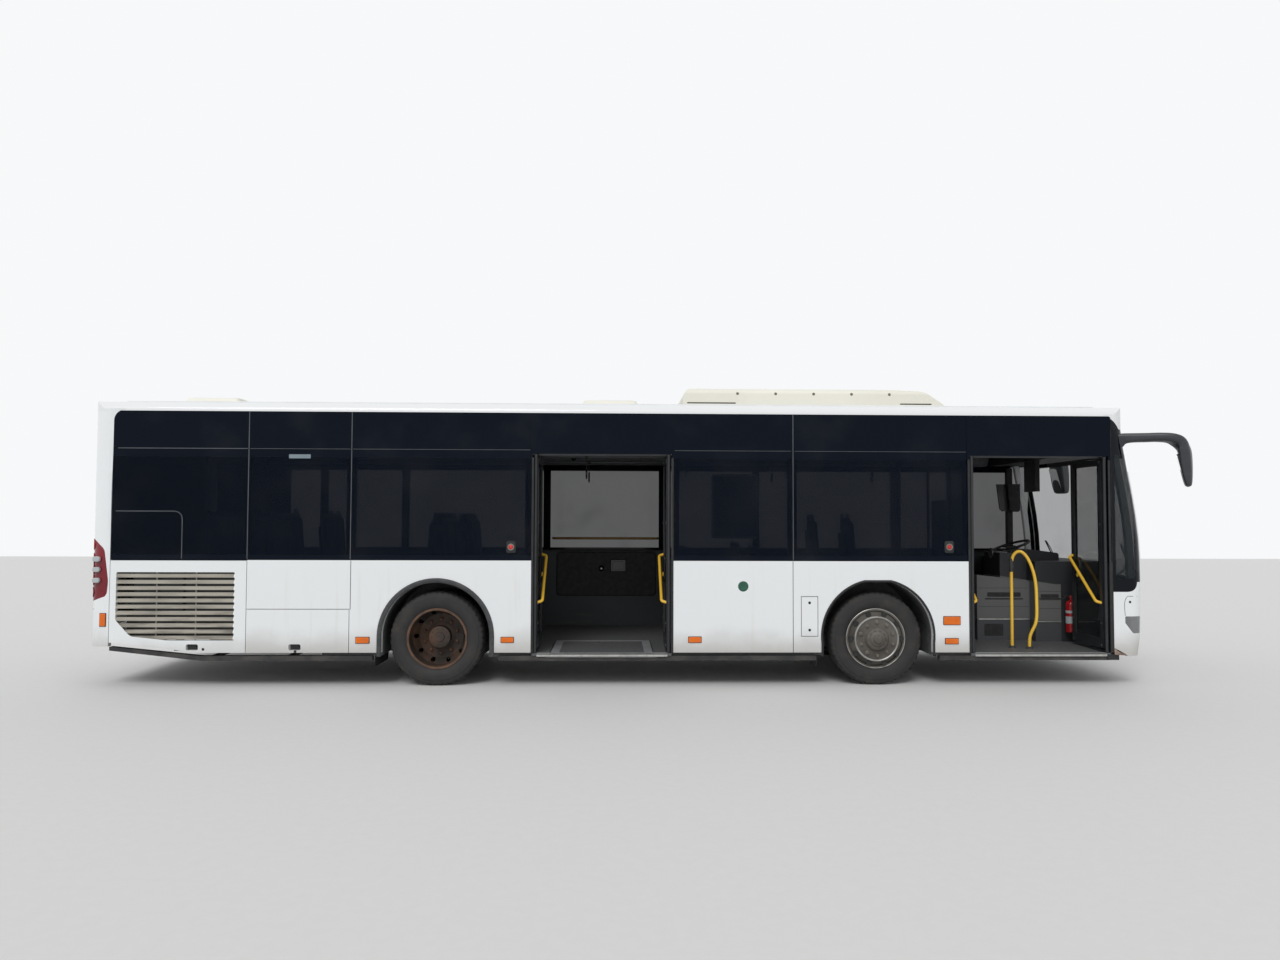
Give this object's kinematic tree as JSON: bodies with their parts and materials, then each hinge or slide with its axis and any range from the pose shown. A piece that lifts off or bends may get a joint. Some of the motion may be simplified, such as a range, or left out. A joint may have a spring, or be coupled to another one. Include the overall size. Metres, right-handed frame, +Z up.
{
  "type": "city bus",
  "caption": "Two-door low-floor city bus with inward-swinging doors, twin rear wheels, fold-out ramp, roof pod and a furnished cabin.",
  "frame": {"origin": "on the ground, in the middle of the overall box including the mirrors", "axes": "+X forward, +Y to the left side, +Z up"},
  "size_m": [11.0093, 2.95, 3.062],
  "materials": {
    "chassis_grey": "dusty matt paint",
    "floor_grey": "worn sheet flooring",
    "body_white": "semi-gloss paint, road dirt low down",
    "band_black": "matt black",
    "side_glass": "dark tinted glass",
    "roof_white": "weathered gloss paint",
    "screen_glass": "laminated glass with a black border",
    "pod_ivory": "weathered glass fibre",
    "engine_grey": "oily cast metal",
    "seat_fabric": "dark woven upholstery",
    "cab_grey": "grained plastic",
    "wheel_black": "grained rim",
    "rail_yellow": "gloss yellow powder coat",
    "mirror_grey": "dark grey moulding",
    "lamp_glass": "clear lens",
    "lamp_red": "red lens",
    "flap_beige": "white frame with dusty beige louvres",
    "ramp_grey": "ribbed alloy plate",
    "tyre": "dusty rubber",
    "front_rim_grey": "grey paint with brown dust",
    "rear_rim_rust": "worn paint with rust",
    "lamp_body": "dark lamp body with bright reflector bowls",
    "seat_frame_grey": "moulded seat shells on painted pedestals",
    "display_black": "matt black box",
    "duct_grey": "light grey moulding",
    "extinguisher_red": "red gloss paint",
    "door_dark": "anodised dark frame",
    "door_glass": "tinted glass"
  },
  "bodies": {
    "root": {"underframe": "chassis_grey", "floor": "floor_grey", "right_lower_panels": "body_white", "right_window_band": "band_black", "right_windows": "side_glass", "left_lower_panels": "body_white", "left_window_band": "band_black", "left_windows": "side_glass", "roof": "roof_white", "front_mask": "body_white", "windscreen": "screen_glass", "rear_panel": "body_white", "rear_window": "side_glass", "air_conditioning_unit": "pod_ivory", "roof_hatches": "pod_ivory", "engine": "engine_grey", "front_axle": "chassis_grey", "rear_axle": "chassis_grey", "seats": "seat_fabric", "cab_console": "cab_grey", "steering_wheel": "wheel_black", "grab_rails": "rail_yellow", "mirrors": "mirror_grey", "headlamps": "lamp_glass", "tail_lamps": "lamp_red", "headlamp_bodies": "lamp_body", "seat_frames": "seat_frame_grey", "destination_display": "display_black", "ceiling_ducts": "duct_grey", "fire_extinguisher": "extinguisher_red"},
    "engine_flap": {"engine_flap": "body_white"},
    "radiator_flap": {"radiator_flap": "flap_beige"},
    "service_flap": {"service_flap": "body_white"},
    "filler_flap": {"filler_flap": "body_white"},
    "ramp": {"ramp": "ramp_grey"},
    "right_knuckle": {"right_knuckle": "chassis_grey"},
    "front_right_wheel": {"front_right_tyre": "tyre", "front_right_rim": "front_rim_grey"},
    "rear_right_wheels": {"rear_right_tyres": "tyre", "rear_right_rims": "rear_rim_rust"},
    "left_knuckle": {"left_knuckle": "chassis_grey"},
    "front_left_wheel": {"front_left_tyre": "tyre", "front_left_rim": "front_rim_grey"},
    "rear_left_wheels": {"rear_left_tyres": "tyre", "rear_left_rims": "rear_rim_rust"},
    "front_door_rear_pillar": {"front_door_rear_pillar": "door_dark"},
    "front_door_rear_leaf": {"front_door_rear_leaf": "door_dark", "front_door_rear_glass": "door_glass"},
    "front_door_front_pillar": {"front_door_front_pillar": "door_dark"},
    "front_door_front_leaf": {"front_door_front_leaf": "door_dark", "front_door_front_glass": "door_glass"},
    "middle_door_rear_pillar": {"middle_door_rear_pillar": "door_dark"},
    "middle_door_rear_leaf": {"middle_door_rear_leaf": "door_dark", "middle_door_rear_glass": "door_glass"},
    "middle_door_front_pillar": {"middle_door_front_pillar": "door_dark"},
    "middle_door_front_leaf": {"middle_door_front_leaf": "door_dark", "middle_door_front_glass": "door_glass"}
  },
  "joints": [
    {"name": "right_steer", "type": "hinge", "parent": "root", "child": "right_knuckle", "pos_m": [2.32, -0.96, 0.465], "axis": [0, 0, 1], "range_deg": [-45, 45]},
    {"name": "front_right_wheel_spin", "type": "hinge", "parent": "right_knuckle", "child": "front_right_wheel", "pos_m": [2.32, -1.055, 0.465], "axis": [0, 1, 0], "continuous": true},
    {"name": "rear_right_wheels_spin", "type": "hinge", "parent": "root", "child": "rear_right_wheels", "pos_m": [-2.078, -0.917, 0.465], "axis": [0, 1, 0], "continuous": true},
    {"name": "left_steer", "type": "hinge", "parent": "root", "child": "left_knuckle", "pos_m": [2.32, 0.96, 0.465], "axis": [0, 0, 1], "range_deg": [-45, 45]},
    {"name": "front_left_wheel_spin", "type": "hinge", "parent": "left_knuckle", "child": "front_left_wheel", "pos_m": [2.32, 1.055, 0.465], "axis": [0, 1, 0], "continuous": true},
    {"name": "rear_left_wheels_spin", "type": "hinge", "parent": "root", "child": "rear_left_wheels", "pos_m": [-2.078, 0.917, 0.465], "axis": [0, 1, 0], "continuous": true},
    {"name": "engine_flap_hinge", "type": "hinge", "parent": "root", "child": "engine_flap", "pos_m": [-5.505, 0, 1.324], "axis": [0, 1, 0], "range_deg": [0, 80]},
    {"name": "radiator_flap_hinge", "type": "hinge", "parent": "root", "child": "radiator_flap", "pos_m": [-4.5935, -1.275, 1.239], "axis": [-1, 0, 0], "range_deg": [0, 85]},
    {"name": "service_flap_hinge", "type": "hinge", "parent": "root", "child": "service_flap", "pos_m": [-3.428, -1.275, 0.761], "axis": [-1, 0, 0], "range_deg": [0, 85]},
    {"name": "filler_flap_hinge", "type": "hinge", "parent": "root", "child": "filler_flap", "pos_m": [1.552, -1.275, 0.695], "axis": [0, 0, -1], "range_deg": [0, 100]},
    {"name": "ramp_hinge", "type": "hinge", "parent": "root", "child": "ramp", "pos_m": [-0.4395, -1.273, 0.33], "axis": [1, 0, 0], "range_deg": [0, 198]},
    {"name": "front_door_rear_pillar_turn", "type": "hinge", "parent": "root", "child": "front_door_rear_pillar", "pos_m": [3.284, -1.247, 1.326], "axis": [0, 0, -1], "range_deg": [0, 90]},
    {"name": "front_door_rear_leaf_turn", "type": "hinge", "parent": "front_door_rear_pillar", "child": "front_door_rear_leaf", "pos_m": [3.284, -0.89375, 1.326], "axis": [0, 0, -1], "range_deg": [-180, 0]},
    {"name": "front_door_front_pillar_turn", "type": "hinge", "parent": "root", "child": "front_door_front_pillar", "pos_m": [4.645, -1.247, 1.326], "axis": [0, 0, 1], "range_deg": [0, 90]},
    {"name": "front_door_front_leaf_turn", "type": "hinge", "parent": "front_door_front_pillar", "child": "front_door_front_leaf", "pos_m": [4.645, -0.89375, 1.326], "axis": [0, 0, 1], "range_deg": [-180, 0]},
    {"name": "middle_door_rear_pillar_turn", "type": "hinge", "parent": "root", "child": "middle_door_rear_pillar", "pos_m": [-1.104, -1.247, 1.326], "axis": [0, 0, -1], "range_deg": [0, 90]},
    {"name": "middle_door_rear_leaf_turn", "type": "hinge", "parent": "middle_door_rear_pillar", "child": "middle_door_rear_leaf", "pos_m": [-1.104, -0.90175, 1.326], "axis": [0, 0, -1], "range_deg": [-180, 0]},
    {"name": "middle_door_front_pillar_turn", "type": "hinge", "parent": "root", "child": "middle_door_front_pillar", "pos_m": [0.225, -1.247, 1.326], "axis": [0, 0, 1], "range_deg": [0, 90]},
    {"name": "middle_door_front_leaf_turn", "type": "hinge", "parent": "middle_door_front_pillar", "child": "middle_door_front_leaf", "pos_m": [0.225, -0.90175, 1.326], "axis": [0, 0, 1], "range_deg": [-180, 0]}
  ],
  "couplings": [
    {"joint": "right_steer", "follows": "left_steer", "ratio": 1},
    {"joint": "front_door_rear_leaf_turn", "follows": "front_door_rear_pillar_turn", "ratio": -2},
    {"joint": "front_door_front_leaf_turn", "follows": "front_door_front_pillar_turn", "ratio": -2},
    {"joint": "middle_door_rear_leaf_turn", "follows": "middle_door_rear_pillar_turn", "ratio": -2},
    {"joint": "middle_door_front_leaf_turn", "follows": "middle_door_front_pillar_turn", "ratio": -2}
  ]
}
